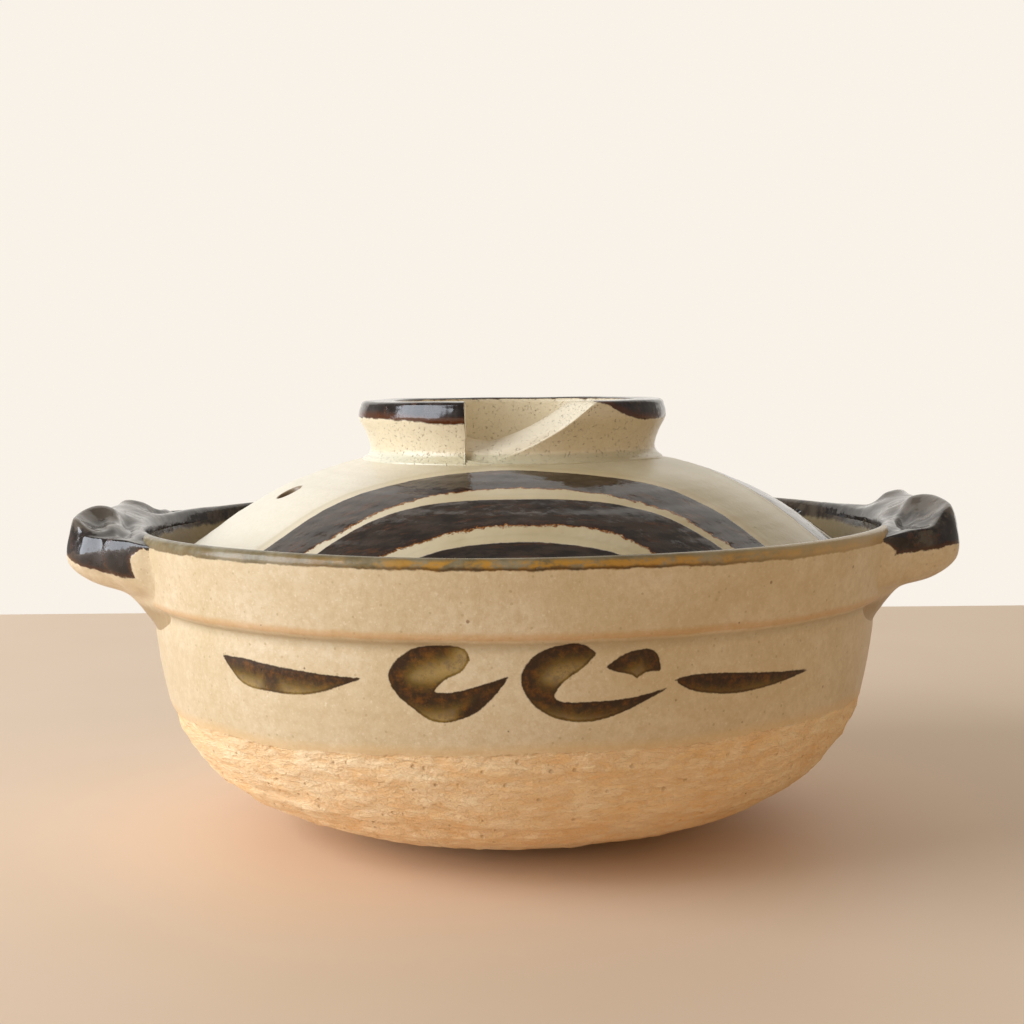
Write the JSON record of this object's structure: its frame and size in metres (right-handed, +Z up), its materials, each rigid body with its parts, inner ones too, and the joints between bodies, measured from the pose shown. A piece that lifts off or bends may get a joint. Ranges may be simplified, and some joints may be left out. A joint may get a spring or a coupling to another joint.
{
  "type": "donabe clay pot",
  "caption": "Lidded stoneware cooking pot with lug ears and thumb hollows, a domed lid with a steam hole, and a notched ring grip.",
  "frame": {"origin": "centre of the base, on the surface that the pot stands on", "axes": "+Z up, +X towards the right ear, -Y towards the notch in the lid's ring"},
  "size_m": [0.2897, 0.255, 0.1413],
  "materials": {
    "pot_glaze": "satin beige glaze over sandy clay",
    "iron_glaze": "glossy dark iron glaze breaking to rust brown",
    "lid_glaze": "glossy pale glaze with iron-brown bands"
  },
  "bodies": {
    "pot": {"pot_body": "pot_glaze", "left_handle": "iron_glaze", "right_handle": "iron_glaze"},
    "lid": {"lid": "lid_glaze", "lid_knob": "lid_glaze"}
  },
  "joints": [
    {"name": "lid_lift", "type": "slide", "parent": "pot", "child": "lid", "axis": [0, 0, 1], "range_m": [0, 0.12]}
  ]
}
